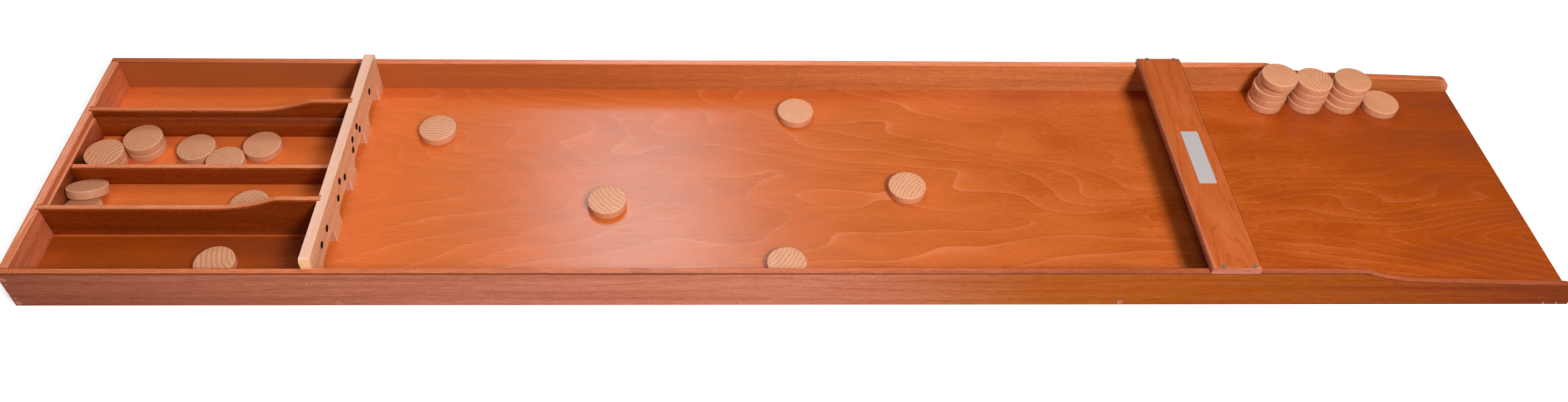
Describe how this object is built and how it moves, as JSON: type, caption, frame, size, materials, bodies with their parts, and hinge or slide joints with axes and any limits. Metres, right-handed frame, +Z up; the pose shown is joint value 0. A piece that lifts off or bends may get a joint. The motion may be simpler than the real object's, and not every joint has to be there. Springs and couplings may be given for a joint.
{
  "type": "dutch shuffleboard",
  "caption": "Long wooden sliding-disc game board with side rails, scoring pockets behind a gate board, a start bar and loose wooden discs.",
  "frame": {"origin": "middle of the footprint, on the table surface", "axes": "+X along the run from the pockets to the throwing end, +Y to the far side rail, +Z up"},
  "size_m": [2, 0.41, 0.0805],
  "materials": {
    "stained_plywood": "red-brown stain under satin lacquer, cathedral grain",
    "stained_beech": "red-brown stain under satin lacquer",
    "pale_beech": "clear satin lacquer",
    "plain_batten": "planed, unfinished",
    "silver_plate": "satin",
    "screw_steel": "zinc plated",
    "pin_steel": "dull",
    "disc_beech": "smooth sanded and waxed"
  },
  "bodies": {
    "board": {"bed_panel": "stained_plywood", "near_rail": "stained_beech", "far_rail": "stained_beech", "back_wall": "stained_beech", "gate_board": "pale_beech", "far_divider": "stained_beech", "middle_divider": "stained_beech", "near_divider": "stained_beech", "start_bar": "stained_beech", "bare_plate": "silver_plate", "gate_batten": "plain_batten", "middle_batten": "plain_batten", "start_batten": "plain_batten", "end_batten": "plain_batten", "bar_screws": "screw_steel", "back_wall_screws": "screw_steel", "gate_board_screws": "screw_steel", "batten_screws": "screw_steel", "back_wall_pins": "pin_steel", "end_batten_pins": "pin_steel"},
    "play_disc_1": {"play_disc_1": "disc_beech"},
    "play_disc_2": {"play_disc_2": "disc_beech"},
    "play_disc_3": {"play_disc_3": "disc_beech"},
    "play_disc_4": {"play_disc_4": "disc_beech"},
    "play_disc_5": {"play_disc_5": "disc_beech"},
    "four_disc_1": {"four_disc_1": "disc_beech"},
    "four_disc_2": {"four_disc_2": "disc_beech"},
    "four_disc_3": {"four_disc_3": "disc_beech"},
    "four_disc_4": {"four_disc_4": "disc_beech"},
    "four_disc_5": {"four_disc_5": "disc_beech"},
    "four_disc_6": {"four_disc_6": "disc_beech"},
    "four_disc_7": {"four_disc_7": "disc_beech"},
    "three_disc_1": {"three_disc_1": "disc_beech"},
    "three_disc_2": {"three_disc_2": "disc_beech"},
    "three_disc_3": {"three_disc_3": "disc_beech"},
    "two_disc_1": {"two_disc_1": "disc_beech"},
    "tall_stack_disc_1": {"tall_stack_disc_1": "disc_beech"},
    "tall_stack_disc_2": {"tall_stack_disc_2": "disc_beech"},
    "tall_stack_disc_3": {"tall_stack_disc_3": "disc_beech"},
    "tall_stack_disc_4": {"tall_stack_disc_4": "disc_beech"},
    "tall_stack_disc_5": {"tall_stack_disc_5": "disc_beech"},
    "middle_stack_disc_1": {"middle_stack_disc_1": "disc_beech"},
    "middle_stack_disc_2": {"middle_stack_disc_2": "disc_beech"},
    "middle_stack_disc_3": {"middle_stack_disc_3": "disc_beech"},
    "middle_stack_disc_4": {"middle_stack_disc_4": "disc_beech"},
    "end_stack_disc_1": {"end_stack_disc_1": "disc_beech"},
    "end_stack_disc_2": {"end_stack_disc_2": "disc_beech"},
    "end_stack_disc_3": {"end_stack_disc_3": "disc_beech"},
    "end_stack_disc_4": {"end_stack_disc_4": "disc_beech"},
    "spare_disc": {"spare_disc": "disc_beech"}
  },
  "joints": [
    {"name": "play_disc_1_slide", "type": "slide", "parent": "board", "child": "play_disc_1", "axis": [1, 0, 0], "range_m": [-0.07, 0]},
    {"name": "play_disc_2_slide", "type": "slide", "parent": "board", "child": "play_disc_2", "axis": [1, 0, 0], "range_m": [-0.465, 0.6]},
    {"name": "play_disc_3_slide", "type": "slide", "parent": "board", "child": "play_disc_3", "axis": [1, 0, 0], "range_m": [-0.3, 0.8]},
    {"name": "play_disc_4_slide", "type": "slide", "parent": "board", "child": "play_disc_4", "axis": [1, 0, 0], "range_m": [-0.565, 0.95]},
    {"name": "play_disc_5_slide", "type": "slide", "parent": "board", "child": "play_disc_5", "axis": [1, 0, 0], "range_m": [-0.425, 0.05]},
    {"name": "four_disc_1_lift", "type": "slide", "parent": "board", "child": "four_disc_1", "axis": [0, 0, 1], "range_m": [0, 0.07]},
    {"name": "four_disc_2_lift", "type": "slide", "parent": "four_disc_1", "child": "four_disc_2", "axis": [0, 0, 1], "range_m": [0, 0.07]},
    {"name": "four_disc_3_lift", "type": "slide", "parent": "board", "child": "four_disc_3", "axis": [0, 0, 1], "range_m": [0, 0.07]},
    {"name": "four_disc_4_lift", "type": "slide", "parent": "four_disc_3", "child": "four_disc_4", "axis": [0, 0, 1], "range_m": [0, 0.07]},
    {"name": "four_disc_5_lift", "type": "slide", "parent": "board", "child": "four_disc_5", "axis": [0, 0, 1], "range_m": [0, 0.07]},
    {"name": "four_disc_6_lift", "type": "slide", "parent": "board", "child": "four_disc_6", "axis": [0, 0, 1], "range_m": [0, 0.07]},
    {"name": "four_disc_7_lift", "type": "slide", "parent": "board", "child": "four_disc_7", "axis": [0, 0, 1], "range_m": [0, 0.07]},
    {"name": "three_disc_1_lift", "type": "slide", "parent": "board", "child": "three_disc_1", "axis": [0, 0, 1], "range_m": [0, 0.07]},
    {"name": "three_disc_2_lift", "type": "slide", "parent": "three_disc_1", "child": "three_disc_2", "axis": [0, 0, 1], "range_m": [0, 0.07]},
    {"name": "three_disc_3_lift", "type": "slide", "parent": "board", "child": "three_disc_3", "axis": [0, 0, 1], "range_m": [0, 0.07]},
    {"name": "two_disc_1_lift", "type": "slide", "parent": "board", "child": "two_disc_1", "axis": [0, 0, 1], "range_m": [0, 0.07]},
    {"name": "tall_stack_disc_1_lift", "type": "slide", "parent": "board", "child": "tall_stack_disc_1", "axis": [0, 0, 1], "range_m": [0, 0.07]},
    {"name": "tall_stack_disc_2_lift", "type": "slide", "parent": "tall_stack_disc_1", "child": "tall_stack_disc_2", "axis": [0, 0, 1], "range_m": [0, 0.07]},
    {"name": "tall_stack_disc_3_lift", "type": "slide", "parent": "tall_stack_disc_2", "child": "tall_stack_disc_3", "axis": [0, 0, 1], "range_m": [0, 0.07]},
    {"name": "tall_stack_disc_4_lift", "type": "slide", "parent": "tall_stack_disc_3", "child": "tall_stack_disc_4", "axis": [0, 0, 1], "range_m": [0, 0.07]},
    {"name": "tall_stack_disc_5_lift", "type": "slide", "parent": "tall_stack_disc_4", "child": "tall_stack_disc_5", "axis": [0, 0, 1], "range_m": [0, 0.07]},
    {"name": "middle_stack_disc_1_lift", "type": "slide", "parent": "board", "child": "middle_stack_disc_1", "axis": [0, 0, 1], "range_m": [0, 0.07]},
    {"name": "middle_stack_disc_2_lift", "type": "slide", "parent": "middle_stack_disc_1", "child": "middle_stack_disc_2", "axis": [0, 0, 1], "range_m": [0, 0.07]},
    {"name": "middle_stack_disc_3_lift", "type": "slide", "parent": "middle_stack_disc_2", "child": "middle_stack_disc_3", "axis": [0, 0, 1], "range_m": [0, 0.07]},
    {"name": "middle_stack_disc_4_lift", "type": "slide", "parent": "middle_stack_disc_3", "child": "middle_stack_disc_4", "axis": [0, 0, 1], "range_m": [0, 0.07]},
    {"name": "end_stack_disc_1_lift", "type": "slide", "parent": "board", "child": "end_stack_disc_1", "axis": [0, 0, 1], "range_m": [0, 0.07]},
    {"name": "end_stack_disc_2_lift", "type": "slide", "parent": "end_stack_disc_1", "child": "end_stack_disc_2", "axis": [0, 0, 1], "range_m": [0, 0.07]},
    {"name": "end_stack_disc_3_lift", "type": "slide", "parent": "end_stack_disc_2", "child": "end_stack_disc_3", "axis": [0, 0, 1], "range_m": [0, 0.07]},
    {"name": "end_stack_disc_4_lift", "type": "slide", "parent": "end_stack_disc_3", "child": "end_stack_disc_4", "axis": [0, 0, 1], "range_m": [0, 0.07]},
    {"name": "spare_disc_lift", "type": "slide", "parent": "board", "child": "spare_disc", "axis": [0, 0, 1], "range_m": [0, 0.07]}
  ]
}
